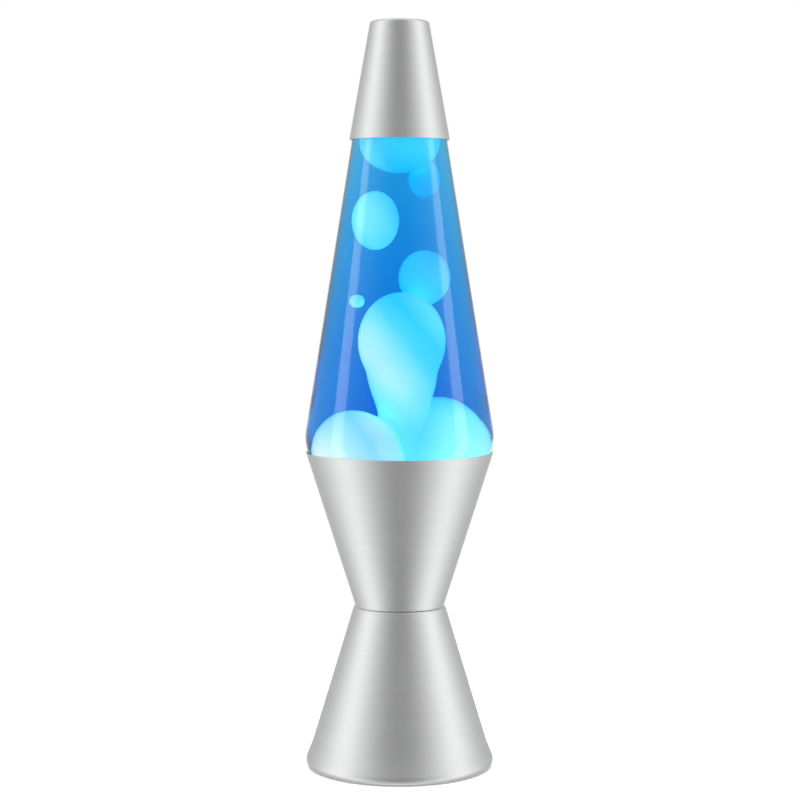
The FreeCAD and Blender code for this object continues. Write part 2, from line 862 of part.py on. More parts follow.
def drilled(label, blank):
    """A blank with the rivets' holes through it."""
    tools = []
    for index, placement in enumerate(rivet_places()):
        tool = cylinder("%s_rivet_hole_%d" % (label, index), "rivet_radius", "drill_length")
        tool.Placement = placement
        tool.Placement.Base.z = value("waist_height - drill_length/2")
        tools.append(tool)
    return cut(label, blank, fuse(label + "_rivet_holes", tools))


def gland_axis():
    """Outward and square to the base's back wall."""
    lean = math.atan(wall_slope())
    return Vector(0, math.cos(lean), math.sin(lean))


def wall_slope():
    """How much the base cone widens per millimetre of height, above its flare."""
    return value("flare_radius - waist_radius") / value("waist_height - flare_height")


def gland_placement(shift=0.0):
    """Lays a turned piece's Z axis along the gland's, its zero on the wall's outside."""
    reach = value("flare_radius") - wall_slope() * value("gland_height - flare_height")
    wall = Vector(0, reach, value("gland_height"))
    return Placement(wall + gland_axis() * shift, Rotation(Vector(0, 0, 1), gland_axis()))


def cord_gland():
    """Flanged bushing from outside and its hexagon nut inside the wall."""
    bushing = turned("cord_gland", [
        ("gland_bore_radius", "gland_flange - gland_length"),
        ("gland_barrel_radius", "gland_flange - gland_length"),
        ("gland_barrel_radius", "0"),
        ("gland_flange_radius", "0"),
        ("gland_flange_radius", "gland_flange", "0.8"),
        ("gland_bore_radius", "gland_flange"),
    ])
    bushing.Placement = gland_placement(0.05)
    keep(bushing, "cord_gland")
    prism = primitive("Prism", "gland_nut_prism", Circumradius="gland_flange_radius",
                      Height="gland_nut_height")
    bore = cylinder("gland_nut_bore", "gland_barrel_radius", "gland_nut_height")
    nut = cut("gland_nut", prism, bore)
    nut.Placement = gland_placement(-value("base_wall + gland_nut_height") - 0.7)
    keep(nut, "gland_nut")


# ---- bulb ------------------------------------------------------------------------------------

def bulb_contact():
    """Solder tip; it only rises while the rest of the bulb turns."""
    keep(turned("bulb_contact", [
        ("0", "bulb_seat"), ("1.5", "bulb_seat"), ("3.2", "bulb_seat + 1.2"),
        ("3.2", "bulb_seat + 2"), ("0", "bulb_seat + 2"),
    ]), "bulb_contact")


def bulb_insulator():
    keep(turned("bulb_insulator", [
        ("0", "bulb_seat + 2"), ("3.4", "bulb_seat + 2"),
        ("bulb_cap_radius - bulb_cap_wall", "bulb_seat + 4.6"),
        ("bulb_cap_radius - bulb_cap_wall", "bulb_seat + 5.6"), ("0", "bulb_seat + 5.6"),
    ]), "bulb_insulator")


def bulb_cap():
    """E17 screw cap: thin sleeve, flared skirt and a real helical thread."""
    outer = value("bulb_cap_radius")
    inner = outer - value("bulb_cap_wall")
    seat = value("bulb_seat")
    corners = [(inner, 4.6), (outer, 4.6), (outer, 19.5), (8.5, 21.0), (8.5, 22.4), (8.0, 22.4),
               (8.0, 21.2), (inner, 19.8)]
    sleeve = lathe([Vector(radius, 0, seat + height) for radius, height in corners])
    ridge = thread_ridge(value("thread_ridge"), THREAD_START, BULB_THREAD_TURNS)
    bore = Part.makeCylinder(inner, 16, Vector(0, 0, seat + 4.6))
    shaped("bulb_cap", sleeve.fuse(ridge).cut(bore))


def lathe(corners):
    """Revolve a closed polygon of XZ points about Z."""
    outline = Part.makePolygon(corners + corners[:1])
    return Part.Face(outline).revolve(Vector(0, 0, 0), Vector(0, 0, 1), 360)


def curve(points):
    """A smooth edge through XZ points."""
    spline = Part.BSplineCurve()
    spline.interpolate(points)
    return spline.toShape()


def bulb_profile(wall):
    """Half outline of the reflector envelope from the cap up, inset by a wall."""
    seat = value("bulb_seat")
    top = value("bulb_length") - wall
    widest = value("bulb_radius") - wall
    neck = 7.0 - wall
    return [Vector(radius, 0, seat + height) for radius, height in (
        (neck, 20.0), (neck + 0.9, 23.5), (neck + 2.6, 29.0), (0.69 * widest, 37.5),
        (0.91 * widest, 47.0), (widest, 54.5), (0.95 * widest, 60.0), (0.74 * widest, top - 2.4),
        (0.38 * widest, top - 0.6), (0, top))]


def bulb_glass():
    """Thin blown envelope, open at the neck where the cap closes it."""
    outer = bulb_profile(0.0)
    inner = bulb_profile(value("bulb_wall"))
    edges = [curve(outer), Part.makeLine(outer[-1], inner[-1]), curve(inner),
             Part.makeLine(inner[0], outer[0])]
    section = Part.Face(Part.Wire(Part.__sortEdges__(edges)))
    shaped("bulb_glass", section.revolve(Vector(0, 0, 0), Vector(0, 0, 1), 360))


def bulb_stem():
    keep(turned("bulb_stem", [
        ("0", "bulb_seat + 20.5"), ("5.8", "bulb_seat + 20.5"), ("2.2", "bulb_seat + 27"),
        ("1.6", "bulb_seat + 38"), ("0", "bulb_seat + 38"),
    ]), "bulb_stem")


def bulb_filament():
    """Half-ring filament on two support wires that lean out from the stem."""
    height = value("bulb_seat + 48")
    ring = primitive("Torus", "filament_ring", Radius1="filament_radius", Radius2="0.35")
    ring.Angle3 = 180
    at(ring, "0", "0", "bulb_seat + 48")
    keep(ring, "bulb_filament")
    wires = []
    for side in (-1, 1):
        foot = Vector(side * 0.9, 0, value("bulb_seat + 38"))
        head = Vector(side * value("filament_radius"), 0, height - 0.4)
        run = head - foot
        wire = cylinder("support_%s" % ("left" if side < 0 else "right"), "0.25",
                        "%.4f" % run.Length)
        wire.Placement = Placement(foot, Rotation(Vector(0, 0, 1), run))
        wires.append(wire)
    group("filament_supports", wires)


# ---- closure ---------------------------------------------------------------------------------

def crown_liner():
    keep(cylinder("crown_liner", "neck_radius", "liner_height", "globe_top"), "crown_liner")


def crown_cap():
    """Pressed steel crown whose skirt grips under the finish, with 21 flutes."""
    top = "globe_top + liner_height + crown_sheet"
    under = "globe_top + liner_height"
    rim = "globe_top + 1.1 - crown_height"
    blank = turned("crown_blank", [
        ("0", under),
        ("crown_top_radius", under),
        ("crown_top_radius + 0.3", "globe_top - 1"),
        ("crown_skirt_radius - crown_sheet", rim),
        ("crown_skirt_radius", rim),
        ("crown_top_radius + 0.3 + crown_sheet", "globe_top - 0.6"),
        ("crown_top_radius", top),
        ("0", top),
    ])
    flutes = []
    flute_ring = value("crown_skirt_radius + 1.05")
    for index, placement in enumerate(ring_placements(FLUTE_COUNT, flute_ring)):
        flute = cylinder("flute_%d" % index, "1.2", "crown_height")
        flute.Placement = placement
        flute.Placement.Base.z = value(rim + " - 1.5")
        flutes.append(flute)
    keep(cut("crown_cap", blank, fuse("flutes", flutes)), "crown_cap")


# ---- wax, coil and liquid --------------------------------------------------------------------

# Free blobs: label, centre (x, y, z) and half-sizes (x, y, z).
BLOBS = [
    ("wax_top_blob", (0.0, -2.0, 309.0), (15.8, 12.0, 16.0)),
    ("wax_upper_blob", (8.1, 9.2, 290.0), (5.3, 5.0, 9.3)),
    ("wax_left_blob", (-9.1, 0.0, 269.9), (9.0, 9.0, 14.6)),
    ("wax_right_blob", (8.2, 11.0, 241.1), (8.7, 9.0, 13.9)),
    ("wax_small_blob", (-16.0, 0.0, 230.3), (3.1, 3.1, 3.5)),
]

# Masses that rise from the pool: centre and half-sizes as above.
SWELLS = [
    ("left_mound", (-18.8, -12.0, 147.5), (22.3, 22.0, 30.5)),
    ("right_mound", (13.0, 12.0, 148.5), (18.4, 20.0, 34.0)),
    ("column_head", (0.9, -6.0, 211.0), (17.6, 11.5, 24.7)),
]

# Sections of the column below its head: height, centre (x, y) and radius.
COLUMN = [
    (140.0, (1.0, 1.0), 13.0),
    (163.0, (0.8, 0.0), 8.4),
    (178.0, (1.2, -2.0), 10.2),
    (192.0, (1.0, -5.0), 13.6),
    (205.0, (0.9, -6.0), 11.5),
]


def ellipsoid(name, centre, halves, margin="0"):
    """A closed ellipsoid of half-sizes (x, y, z), each grown by a margin."""
    across, deep, tall = ["%s + %s" % (size, margin) for size in halves]
    solid = primitive("Ellipsoid", name, Radius1=tall, Radius2=across, Radius3=deep)
    solid.Angle1 = -90
    solid.Placement = Placement(Vector(*centre), Rotation())
    return solid


def wax_column():
    """Loft through the column's round sections."""
    body = DOC.addObject("PartDesign::Body", "wax_column")
    sketches = []
    for index, (height, centre, radius) in enumerate(COLUMN):
        sketch = new_sketch(body, "column_section_%d" % index, "XY_Plane", str(height))
        draw_circle(sketch, str(radius), "%s" % centre[0], "%s" % centre[1])
        sketch.Visibility = False
        sketches.append(sketch)
    loft = body.newObject("PartDesign::AdditiveLoft", "column_loft")
    loft.Profile = sketches[0]
    loft.Sections = sketches[1:]
    DOC.recompute()
    return body


def heating_coil():
    """Wire spring laid in a ring on the globe's floor, its two ends a hair apart."""
    ring = value("coil_ring_radius")
    small = value("coil_radius")
    wire = value("coil_wire_radius")
    steps = COIL_POINTS_PER_TURN * COIL_TURNS
    level = value(COIL_HEIGHT)
    points = []
    for step in range(steps - COIL_POINTS_PER_TURN // 2):
        around_ring = 2 * math.pi * step / steps
        twist = COIL_TURNS * around_ring
        reach = ring + small * math.cos(twist)
        points.append(Vector(reach * math.cos(around_ring), reach * math.sin(around_ring),
                             level + small * math.sin(twist)))
    spline = Part.BSplineCurve()
    spline.interpolate(points)
    start = spline.tangent(spline.FirstParameter)[0]
    section = Part.Wire([Part.makeCircle(wire, points[0], start)])
    shaped("heating_coil", Part.Wire([spline.toShape()]).makePipeShell([section], True, True))
    room = primitive("Torus", "coil_room", Radius1="coil_ring_radius",
                     Radius2="coil_radius + coil_wire_radius + 0.2")
    at(room, "0", "0", COIL_HEIGHT)
    return room


def wax_and_liquid():
    """The wax pool with its column and mounds, the free blobs, and the liquid round them all."""
    filling = globe_filling()
    pool = cylinder("pool_bulk", "heel_radius", "pool_height - globe_floor", "globe_floor")
    swells = [ellipsoid(name, centre, halves) for name, centre, halves in SWELLS]
    mass = fuse("wax_mass", [pool, wax_column()] + swells)
    held = DOC.addObject("Part::Common", "wax_in_globe")
    held.Base = mass
    held.Tool = filling
    room = heating_coil()
    keep(cut("wax_pool", held, room), "wax_pool")
    hollows = []
    for name, centre, halves in BLOBS:
        keep(ellipsoid(name, centre, halves), name)
        hollows.append(ellipsoid(name + "_hollow", centre, halves, "wax_gap"))
    keep(cut("liquid", filling, fuse("wax_hollows", [held] + hollows)), "liquid")


# ---- build, check and write ------------------------------------------------------------------

def check_document():
    """Stop if any object failed or any sub-part is empty or invalid."""
    failed = [thing.Name for thing in DOC.Objects
              if "Invalid" in thing.State or "Error" in thing.State]
    assert not failed, "failed: %s" % failed
    for node in NODES:
        assert not node.Shape.isNull(), node.Label
        assert node.Shape.isValid(), node.Label
        assert node.Shape.Volume > 0, node.Label


def write_parts():
    os.makedirs("parts", exist_ok=True)
    for node in NODES:
        node.Shape.exportStep("parts/%s.step" % node.Label)


def main():
    make_sheet()
    base_cone()
    globe_cup()
    flange_rivets()
    socket_bracket()
    lamp_pipe()
    pipe_fasteners()
    socket_collar()
    socket_screws()
    socket_body()
    socket_shell()
    socket_contact()
    terminal_screws()
    socket_lead("live_lead", "-1")
    socket_lead("neutral_lead", "1")
    splice_caps()
    bottom_plate()
    rubber_feet()
    cord_gland()
    bulb_contact()
    bulb_insulator()
    bulb_cap()
    bulb_glass()
    bulb_stem()
    bulb_filament()
    globe_glass()
    crown_liner()
    crown_cap()
    wax_and_liquid()
    cap()
    DOC.recompute()
    check_document()
    write_parts()
    for node in NODES:
        print("%-20s %10.1f mm3, %d solids" % (node.Label, node.Shape.Volume,
                                               len(node.Shape.Solids)))


main()
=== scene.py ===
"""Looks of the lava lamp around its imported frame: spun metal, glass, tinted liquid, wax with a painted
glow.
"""

import math

import bmesh
import bpy
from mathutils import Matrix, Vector


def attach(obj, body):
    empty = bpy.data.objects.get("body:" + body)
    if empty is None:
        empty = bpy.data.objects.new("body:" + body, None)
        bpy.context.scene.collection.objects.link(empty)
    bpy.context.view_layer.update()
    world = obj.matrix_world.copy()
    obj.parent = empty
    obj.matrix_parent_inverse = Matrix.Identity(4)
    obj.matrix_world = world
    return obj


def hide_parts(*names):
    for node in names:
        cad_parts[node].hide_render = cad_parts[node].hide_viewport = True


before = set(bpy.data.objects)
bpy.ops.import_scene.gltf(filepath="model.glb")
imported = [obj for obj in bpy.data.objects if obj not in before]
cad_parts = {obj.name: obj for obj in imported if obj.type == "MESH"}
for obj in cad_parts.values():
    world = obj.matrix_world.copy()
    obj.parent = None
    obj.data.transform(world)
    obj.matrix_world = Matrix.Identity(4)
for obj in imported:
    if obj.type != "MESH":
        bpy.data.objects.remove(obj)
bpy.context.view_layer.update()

MM = 0.001

# camera: a long lens a metre away, a little above the lamp's middle, looking slightly down
CAMERA_DISTANCE = 1021.5 * MM
CAMERA_HEIGHT = 253.7 * MM
CAMERA_ASIDE = 0.2 * MM
CAMERA_PITCH = 0.0694
CAMERA_LENS = 93.07

# studio: the room's brightness from straight in front (0) to straight behind (1), which
# WORLD_STRENGTH multiplies
WORLD_STRENGTH = 2.5
ROOM_LIGHT = [
    (0.0, 0.075), (0.05, 0.115), (0.16, 0.27), (0.30, 0.40), (0.355, 0.50),
    (0.42, 0.84), (0.49, 0.48), (0.56, 0.29), (0.75, 0.19), (0.94, 0.15), (1.0, 0.40),
]
# upright strip lights at the sides, which only the globe's glass mirrors: widths nested to fade out
STRIP_ANGLE = 81
STRIP_DISTANCE = 1.3
STRIP_WIDTHS = (0.10, 0.24, 0.42)
STRIP_HEIGHT = 2.6
STRIP_POWER_PER_AREA = 14.0
# light that has passed through the lamp finds the room above the first of these climbs of its
# direction, and the white background below the second
ROOM_CLIMB = 0.08
WHITE_CLIMB = -0.02
TOP_POWER = 42.0
TOP_DIAMETER = 1.8
TOP_PLACE = (0, -0.2, 1.6)
FLOOR_RADIUS = 40.0
# how far from the lamp the lit floor starts to whiten, and where it is pure white
FLOOR_LIT_REACH = 0.12
FLOOR_WHITE_FROM = 0.45

# liquid and wax
LIQUID_LEVEL = 334 * MM
LIQUID_OVERLAP = 0.15 * MM
GLOBE_MIDDLE = Vector((0, 0, 0.2))
LIQUID_CREASE = math.radians(50)
WELD_DISTANCE = 0.01 * MM
WAX_VOXEL = 0.9 * MM
NECK_HEIGHT = 168 * MM
# heights between which the wax's painted glow (the bulb's light painted in as emission) fades up its
# ramp, as its X leans it, painting the left side whiter
WAX_GLOW_BOTTOM = 130 * MM
WAX_GLOW_TOP = 330 * MM
WAX_GLOW_LEAN = 1.5
WAX_GLOW_WANDER = 6 * MM
WAX_GLOW_STRENGTH = 5.0
# painted pool of light on the rear mound, where it would be lit hardest: across from its hidden side,
# and down from the column's neck
PAINTED_POOL_SIDE = (10 * MM, 18 * MM)
PAINTED_POOL_TOP = (186 * MM, 174 * MM)


# ---------------------------------------------------------------- node helpers


def add_node(tree, kind, inputs=(), **settings):
    """One shader node; inputs gives (socket, value or output) pairs."""
    node = tree.nodes.new("ShaderNode" + kind)
    for name, value in settings.items():
        setattr(node, name, value)
    for socket, value in inputs:
        if isinstance(value, bpy.types.NodeSocket):
            tree.links.new(value, node.inputs[socket])
        else:
            node.inputs[socket].default_value = value
    return node


def math_node(tree, operation, *values):
    """The output of one Math node."""
    return add_node(tree, "Math", enumerate(values), operation=operation).outputs[0]


def ramp(tree, factor, stops):
    """The colour output of a ramp with (position, colour) stops."""
    node = add_node(tree, "ValToRGB", [("Fac", factor)])
    elements = node.color_ramp.elements
    while len(elements) < len(stops):
        elements.new(1.0)
    for element, (position, colour) in zip(elements, stops):
        element.position = position
        element.color = (*colour, 1)
    return node.outputs["Color"]


def share(tree, value, start, end):
    """How far a value has gone from start to end, held between 0 and 1."""
    node = add_node(tree, "MapRange", [("Value", value), ("From Min", start), ("From Max", end)])
    return node.outputs["Result"]


def spread(tree, value, low, high):
    """A 0 to 1 value stretched between low and high."""
    node = add_node(tree, "MapRange", [("Value", value), ("To Min", low), ("To Max", high)])
    return node.outputs["Result"]


def object_point(tree):
    """The point on the object, which moves with its body."""
    return add_node(tree, "TexCoord").outputs["Object"]


def stretched_noise(tree, point, stretch, detail):
    """Noise over the object, with its own scale along each axis, per metre."""
    mapping = add_node(tree, "Mapping", [("Vector", point), ("Scale", stretch)])
    inputs = [("Vector", mapping.outputs[0]), ("Scale", 1.0), ("Detail", detail)]
    return add_node(tree, "TexNoise", inputs).outputs["Fac"]


def relief(tree, height, depth, under=None):
    """A bump normal of the given depth in metres, over another normal where one is given."""
    inputs = [("Height", height), ("Distance", depth), ("Strength", 1.0)]
    if under is not None:
        inputs.append(("Normal", under))
    return add_node(tree, "Bump", inputs).outputs["Normal"]


class Finish:
    """A material with one Principled shader; constants go on the shader's own sockets."""

    def __init__(self, name, **constants):
        self.material = bpy.data.materials.new(name)
        self.material.use_nodes = True
        self.tree = self.material.node_tree
        self.shader = self.tree.nodes["Principled BSDF"]
        for socket, value in constants.items():
            self.shader.inputs[socket.replace("_", " ")].default_value = value

    def drive(self, socket, output):
        """Lets a node's output set one socket of the shader."""
        self.tree.links.new(output, self.shader.inputs[socket])


# ---------------------------------------------------------------- materials


def spun_metal(name, tint, roughness):
    """Metal turned on a lathe: fine rings round the axis, with slow ripples under them."""
    finish = Finish(name, Metallic=1.0, Anisotropic=0.2)
    tree = finish.tree
    point = object_point(tree)
    flat = add_node(tree, "VectorMath", [(0, point), (1, (1, 1, 0))], operation="MULTIPLY")
    radius = add_node(tree, "VectorMath", [(0, flat.outputs[0])], operation="LENGTH")
    parts = add_node(tree, "SeparateXYZ", [(0, point)])
    along = math_node(tree, "MULTIPLY_ADD", radius.outputs["Value"], 0.7, parts.outputs["Z"])
    turned = add_node(tree, "CombineXYZ", [(0, parts.outputs["X"]), (1, parts.outputs["Y"]), (2, along)])
    lines = stretched_noise(tree, turned.outputs[0], (9, 9, 3200), 2.0)
    ripples = stretched_noise(tree, turned.outputs[0], (2, 2, 160), 1.0)
    dark = tuple(0.95 * channel for channel in tint)
    finish.drive("Base Color", ramp(tree, lines, [(0.3, dark), (0.7, tint)]))
    finish.drive("Roughness", spread(tree, lines, roughness - 0.05, roughness + 0.05))
    slow = relief(tree, ripples, 0.02 * MM)
    finish.drive("Normal", relief(tree, lines, 0.003 * MM, under=slow))
    tangent = add_node(tree, "Tangent", direction_type="RADIAL", axis="Z")
    finish.drive("Tangent", tangent.outputs[0])
    return finish.material


def grained(name, light, dark, roughness, grain, depth, **constants):
    """A moulded, plated or painted surface: mottled colour and roughness with a fine grain."""
    finish = Finish(name, **constants)
    tree = finish.tree
    point = object_point(tree)
    mottle = stretched_noise(tree, point, (90, 90, 90), 4.0)
    fine = stretched_noise(tree, point, (grain, grain, grain), 2.0)
    finish.drive("Base Color", ramp(tree, mottle, [(0.3, dark), (0.7, light)]))
    finish.drive("Roughness", spread(tree, fine, roughness - 0.07, roughness + 0.07))
    finish.drive("Normal", relief(tree, fine, depth))
    return finish.material


def blown_glass(name, roughness):
    """Clear glass whose skin waves slightly, as blown glass does."""
    finish = Finish(
        name, Transmission_Weight=1.0, IOR=1.5, Base_Color=(1, 1, 1, 1),
        Specular_Tint=(0.3, 0.3, 0.3, 1))
    tree = finish.tree
    point = object_point(tree)
    wave = stretched_noise(tree, point, (22, 22, 9), 1.0)
    haze = stretched_noise(tree, point, (300, 300, 300), 3.0)
    finish.drive("Normal", relief(tree, wave, 0.004 * MM))
    finish.drive("Roughness", spread(tree, haze, roughness, roughness + 0.02))
    return finish.material


def tinted_liquid(name):
    """Clear liquid that takes red, then green, out of the light that crosses it."""
    finish = Finish(
        name, Transmission_Weight=1.0, IOR=1.33, Roughness=0.0, Specular_Tint=(0.2, 0.2, 0.2, 1))
    tree = finish.tree
    swirl = stretched_noise(tree, object_point(tree), (30, 30, 12), 2.0)
    finish.drive("Normal", relief(tree, swirl, 0.01 * MM))
    absorb = add_node(tree, "VolumeAbsorption", [("Color", (0.0, 0.78, 0.983, 1)), ("Density", 90.0)])
    output = tree.nodes["Material Output"]
    tree.links.new(absorb.outputs[0], output.inputs["Volume"])
    return finish.material


def molten_wax(name):
    """Wax with the bulb's light from below painted in as emission: painted white low down, cyan at the
    top, and a painted pool of light on the rear mound.
    """
    finish = Finish(
        name, Emission_Strength=WAX_GLOW_STRENGTH, Sheen_Weight=1.0, Sheen_Roughness=0.25, IOR=1.44)
    tree = finish.tree
    point = object_point(tree)
    parts = add_node(tree, "SeparateXYZ", [(0, point)]).outputs
    cloud = stretched_noise(tree, point, (60, 60, 40), 2.0)
    wander = spread(tree, cloud, -WAX_GLOW_WANDER, WAX_GLOW_WANDER)
    aside = math_node(tree, "MULTIPLY_ADD", parts["X"], WAX_GLOW_LEAN, wander)
    level = math_node(tree, "ADD", parts["Z"], aside)
    climb = share(tree, level, WAX_GLOW_BOTTOM, WAX_GLOW_TOP)
    # painted light: the bulb's light on the wax, painted in as emission colour that climbs with height
    # and leans with X, its red raised where the liquid in front takes it out
    painted_glow_ramp = ramp(tree, climb, [
        (0.07, (0.155, 0.18, 0.175)),
        (0.16, (0.55, 0.26, 0.205)),
        (0.28, (0.72, 0.28, 0.215)),
        (0.36, (0.36, 0.25, 0.21)),
        (0.43, (0.10, 0.205, 0.205)),
        (0.50, (0.036, 0.18, 0.20)),
        (0.57, (0.15, 0.22, 0.205)),
        (0.66, (0.13, 0.205, 0.20)),
        (0.81, (0.006, 0.12, 0.19)),
        (0.92, (0.003, 0.132, 0.19)),
    ])
    # painted pool of light: beside and below these bounds the wax's emission turns peach-white
    beside = share(tree, parts["X"], *PAINTED_POOL_SIDE)
    below = share(tree, parts["Z"], *PAINTED_POOL_TOP)
    painted_pool_mask = math_node(tree, "MULTIPLY", beside, below)
    inputs = [("Fac", painted_pool_mask), ("Color1", painted_glow_ramp), ("Color2", (1.0, 0.37, 0.22, 1))]
    lit = add_node(tree, "MixRGB", inputs)
    finish.drive("Emission Color", lit.outputs[0])
    finish.drive("Base Color", ramp(tree, cloud, [(0.2, (0.5, 0.85, 0.9)), (0.8, (0.6, 0.92, 0.95))]))
    finish.drive("Roughness", spread(tree, cloud, 0.3, 0.45))
    return finish.material


def hot_tungsten(name):
    """Filament wire, glowing where the lamp is lit."""
    finish = Finish(name, Metallic=1.0, Roughness=0.5, Emission_Strength=3.0)
    tree = finish.tree
    turns = stretched_noise(tree, object_point(tree), (4000, 4000, 4000), 1.0)
    finish.drive("Base Color", ramp(tree, turns, [(0.3, (0.2, 0.19, 0.18)), (0.7, (0.4, 0.38, 0.36))]))
    finish.drive("Emission Color", ramp(tree, turns, [(0.2, (1, 0.55, 0.2)), (0.8, (1, 0.72, 0.4))]))
    return finish.material


def all_finishes():
    """One material for every material slot of the record."""
    return {
        "spun_aluminium": spun_metal("satin_aluminium", (0.9, 0.905, 0.91), 0.48),
        "brass": spun_metal("turned_brass", (0.82, 0.62, 0.3), 0.24),
        "nickel_cap": spun_metal("nickel_plate", (0.72, 0.7, 0.66), 0.26),
        "clear_glass": blown_glass("blown_glass", 0.0),
        "bulb_glass": blown_glass("bulb_envelope", 0.25),
        "blue_liquid": tinted_liquid("tinted_liquid"),
        "glowing_wax": molten_wax("molten_wax"),
        "tungsten": hot_tungsten("hot_tungsten"),
        "stamped_steel": grained(
            "zinc_plate", (0.66, 0.67, 0.69), (0.5, 0.51, 0.54), 0.36, 900, 0.01 * MM, Metallic=1.0),
        "solder": grained(
            "dull_solder", (0.62, 0.62, 0.62), (0.45, 0.45, 0.46), 0.42, 1500, 0.04 * MM, Metallic=1.0),
        "black_plastic": grained(
            "black_moulding", (0.035, 0.035, 0.037), (0.02, 0.02, 0.022), 0.5, 1800, 0.03 * MM),
        "black_rubber": grained(
            "foot_rubber", (0.03, 0.03, 0.03), (0.018, 0.018, 0.018), 0.78, 1200, 0.04 * MM),
        "dark_phenolic": grained(
            "phenolic", (0.07, 0.05, 0.042), (0.035, 0.026, 0.022), 0.38, 1500, 0.02 * MM),
        "black_glass": grained(
            "vitrite", (0.03, 0.03, 0.035), (0.012, 0.012, 0.014), 0.12, 700, 0.01 * MM),
        "lead_sleeve": grained(
            "lead_sleeve", (0.84, 0.84, 0.8), (0.72, 0.72, 0.68), 0.45, 900, 0.01 * MM),
        "splice_nylon": grained(
            "splice_nylon", (0.86, 0.85, 0.78), (0.74, 0.72, 0.64), 0.42, 900, 0.01 * MM),
        "painted_crown": grained(
            "crown_lacquer", (0.8, 0.81, 0.82), (0.68, 0.69, 0.71), 0.34, 1300, 0.01 * MM, Metallic=0.6),
        "liner_foam": grained(
            "liner_foam", (0.9, 0.9, 0.87), (0.78, 0.78, 0.74), 0.85, 2600, 0.08 * MM),
    }


def dress_nodes(finishes):
    """Gives every CAD node the material of the slot it was packed with."""
    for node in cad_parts.values():
        for slot in node.material_slots:
            slot.material = finishes[slot.material.name.split(".")[0]]


# ---------------------------------------------------------------- pieces


def new_piece(name, mesh, body, slot, finishes, *stood_for):
    """Adds a mesh that rides on a body and stands for CAD nodes."""
    piece = bpy.data.objects.new(name, mesh)
    bpy.context.scene.collection.objects.link(piece)
    mesh.materials.clear()
    mesh.materials.append(finishes[slot])
    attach(piece, body)
    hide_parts(*stood_for)
    return piece


def liquid_mesh():
    """The inner skin of the glass, filled to the liquid's level and pressed a hair into the wall."""
    shell = bmesh.new()
    shell.from_mesh(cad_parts["globe_glass"].data)
    bmesh.ops.remove_doubles(shell, verts=shell.verts, dist=WELD_DISTANCE)
    outer = [
        face for face in shell.faces
        if face.normal.dot(GLOBE_MIDDLE - face.calc_center_median()) <= 0
    ]
    bmesh.ops.delete(shell, geom=outer, context="FACES")
    bmesh.ops.reverse_faces(shell, faces=shell.faces)
    shell.normal_update()
    for vertex in shell.verts:
        vertex.co += LIQUID_OVERLAP * vertex.normal
    everything = shell.verts[:] + shell.edges[:] + shell.faces[:]
    cut = bmesh.ops.bisect_plane(
        shell, geom=everything, plane_co=(0, 0, LIQUID_LEVEL), plane_no=(0, 0, 1), clear_outer=True)
    rim = [item for item in cut["geom_cut"] if isinstance(item, bmesh.types.BMEdge)]
    bmesh.ops.contextual_create(shell, geom=rim)
    mesh = bpy.data.meshes.new("liquid_body")
    shell.to_mesh(mesh)
    shell.free()
    mesh.polygons.foreach_set("use_smooth", [True] * len(mesh.polygons))
    mesh.set_sharp_from_angle(angle=LIQUID_CREASE)
    return mesh


def softened(node, rounds, neck_rounds=0):
    """A CAD solid's mesh remeshed finely and smoothed, and smoothed more above NECK_HEIGHT."""
    source = bpy.data.objects.new(node + "_source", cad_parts[node].data.copy())
    bpy.context.scene.collection.objects.link(source)
    remesh = source.modifiers.new("remesh", "REMESH")
    remesh.mode = "VOXEL"
    remesh.voxel_size = WAX_VOXEL
    graph = bpy.context.evaluated_depsgraph_get()
    source.data = bpy.data.meshes.new_from_object(source.evaluated_get(graph))
    source.modifiers.clear()
    above = [vertex.index for vertex in source.data.vertices if vertex.co.z > NECK_HEIGHT]
    source.vertex_groups.new(name="neck").add(above, 1.0, "REPLACE")
    source.modifiers.new("smooth", "SMOOTH").iterations = rounds
    melt = source.modifiers.new("melt", "SMOOTH")
    melt.iterations = neck_rounds
    melt.vertex_group = "neck"
    graph = bpy.context.evaluated_depsgraph_get()
    mesh = bpy.data.meshes.new_from_object(source.evaluated_get(graph))
    mesh.polygons.foreach_set("use_smooth", [True] * len(mesh.polygons))
    bpy.data.objects.remove(source)
    return mesh


def wax_pieces(finishes):
    """The melted wax: one soft piece for each CAD solid."""
    new_piece("wax_mass", softened("wax_pool", 10, 50), "globe", "glowing_wax", finishes, "wax_pool")
    for blob in ("top", "upper", "left", "right", "small"):
        node = f"wax_{blob}_blob"
        mesh = softened(node, 4)
        new_piece(f"wax_drop_{blob}", mesh, f"{blob}_blob", "glowing_wax", finishes, node)


# ---------------------------------------------------------------- studio


def make_camera():
    """The camera, facing the lamp's front."""
    data = bpy.data.cameras.new("camera")
    data.lens = CAMERA_LENS
    camera = bpy.data.objects.new("camera", data)
    camera.location = (CAMERA_ASIDE, -CAMERA_DISTANCE, CAMERA_HEIGHT)
    camera.rotation_euler = (math.pi / 2 - CAMERA_PITCH, 0, 0)
    bpy.context.scene.collection.objects.link(camera)
    bpy.context.scene.camera = camera


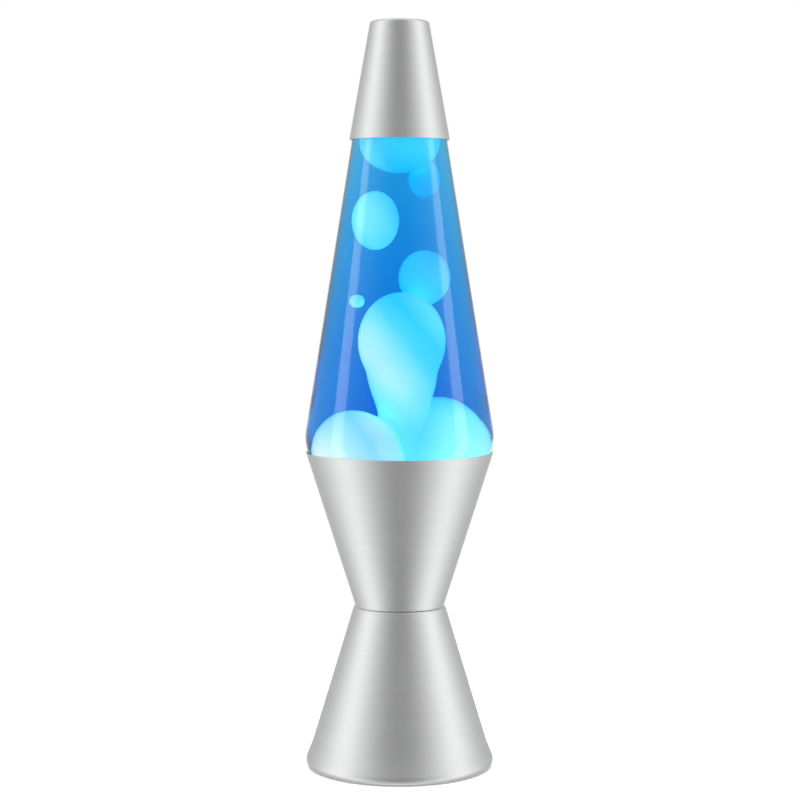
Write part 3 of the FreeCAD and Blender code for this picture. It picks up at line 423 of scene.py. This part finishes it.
def make_world():
    """White behind the lamp, and for what the metal mirrors a grey room, brightest at the sides."""
    world = bpy.data.worlds.new("studio")
    bpy.context.scene.world = world
    world.use_nodes = True
    tree = world.node_tree
    direction = add_node(tree, "TexCoord").outputs["Generated"]
    level = add_node(tree, "VectorMath", [(0, direction), (1, (1, 1, 0))], operation="MULTIPLY")
    around = add_node(tree, "VectorMath", [(0, level.outputs[0])], operation="NORMALIZE")
    back = add_node(tree, "SeparateXYZ", [(0, around.outputs[0])]).outputs["Y"]
    place = share(tree, back, -1.0, 1.0)
    room = ramp(tree, place, [(position, (level,) * 3) for position, level in ROOM_LIGHT])
    up = add_node(tree, "SeparateXYZ", [(0, direction)]).outputs["Z"]
    low = share(tree, up, ROOM_CLIMB, WHITE_CLIMB)
    path = add_node(tree, "LightPath").outputs
    through = math_node(tree, "MULTIPLY", path["Is Transmission Ray"], low)
    seen = math_node(tree, "MAXIMUM", path["Is Camera Ray"], through)
    white = (1 / WORLD_STRENGTH,) * 3 + (1,)
    mix = add_node(tree, "MixRGB", [("Fac", seen), ("Color1", room), ("Color2", white)])
    background = tree.nodes["Background"]
    tree.links.new(mix.outputs[0], background.inputs["Color"])
    background.inputs["Strength"].default_value = WORLD_STRENGTH


def make_strip(name, side, width, glass):
    """An upright strip light to one side, which only the glass sees, for its long highlight."""
    data = bpy.data.lights.new(name, "AREA")
    data.shape = "RECTANGLE"
    data.size = width
    data.size_y = STRIP_HEIGHT
    data.energy = STRIP_POWER_PER_AREA * width * STRIP_HEIGHT
    light = bpy.data.objects.new(name, data)
    angle = math.radians(STRIP_ANGLE)
    across = STRIP_DISTANCE * math.sin(angle)
    along = STRIP_DISTANCE * math.cos(angle)
    light.location = (side * across, -along, GLOBE_MIDDLE.z)
    light.rotation_euler = (math.pi / 2, 0, side * angle)
    light.visible_camera = False
    light.visible_transmission = False
    light.light_linking.receiver_collection = glass
    bpy.context.scene.collection.objects.link(light)


def make_strips():
    """Nested strips on each side, linked to the globe's glass."""
    glass = bpy.data.collections.new("mirrored_strips")
    glass.objects.link(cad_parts["globe_glass"])
    for width in STRIP_WIDTHS:
        make_strip("strip_left", -1, width, glass)
        make_strip("strip_right", 1, width, glass)


def make_top_light():
    """A broad overhead light that whitens the floor and settles the lamp on it."""
    data = bpy.data.lights.new("overhead", "AREA")
    data.shape = "DISK"
    data.size = TOP_DIAMETER
    data.energy = TOP_POWER
    light = bpy.data.objects.new("overhead", data)
    light.location = TOP_PLACE
    light.visible_camera = False
    light.visible_glossy = False
    light.visible_transmission = False
    bpy.context.scene.collection.objects.link(light)


def floor_material():
    """Matt white that brightens to pure white away from the lamp."""
    material = bpy.data.materials.new("floor")
    material.use_nodes = True
    tree = material.node_tree
    tree.nodes.clear()
    point = object_point(tree)
    away = add_node(tree, "VectorMath", [(0, point)], operation="LENGTH").outputs["Value"]
    inputs = [("Value", away), ("From Min", FLOOR_LIT_REACH), ("From Max", FLOOR_WHITE_FROM)]
    far = add_node(tree, "MapRange", inputs, interpolation_type="SMOOTHSTEP").outputs["Result"]
    fleck = stretched_noise(tree, point, (60, 60, 60), 4.0)
    paint = ramp(tree, fleck, [(0.3, (0.9, 0.9, 0.9)), (0.7, (0.92, 0.92, 0.92))])
    matt = add_node(tree, "BsdfDiffuse", [("Color", paint)])
    lit = add_node(tree, "Emission", [("Strength", 1.0)])
    mix = add_node(tree, "MixShader", [(0, far), (1, matt.outputs[0]), (2, lit.outputs[0])])
    add_node(tree, "OutputMaterial", [("Surface", mix.outputs[0])])
    return material


def make_floor():
    """A wide round floor under the feet, which the metal doesn't mirror."""
    disc = bmesh.new()
    bmesh.ops.create_circle(disc, cap_ends=True, segments=96, radius=FLOOR_RADIUS)
    mesh = bpy.data.meshes.new("floor")
    disc.to_mesh(mesh)
    disc.free()
    mesh.materials.append(floor_material())
    floor = bpy.data.objects.new("floor", mesh)
    bpy.context.scene.collection.objects.link(floor)
    floor.visible_glossy = False


def build():
    """Dresses the frame, adds the soft pieces and sets up the studio."""
    finishes = all_finishes()
    dress_nodes(finishes)
    new_piece("liquid_body", liquid_mesh(), "globe", "blue_liquid", finishes, "liquid")
    wax_pieces(finishes)
    make_camera()
    make_world()
    make_strips()
    make_top_light()
    make_floor()
    bpy.context.scene.view_settings.view_transform = "Standard"


build()
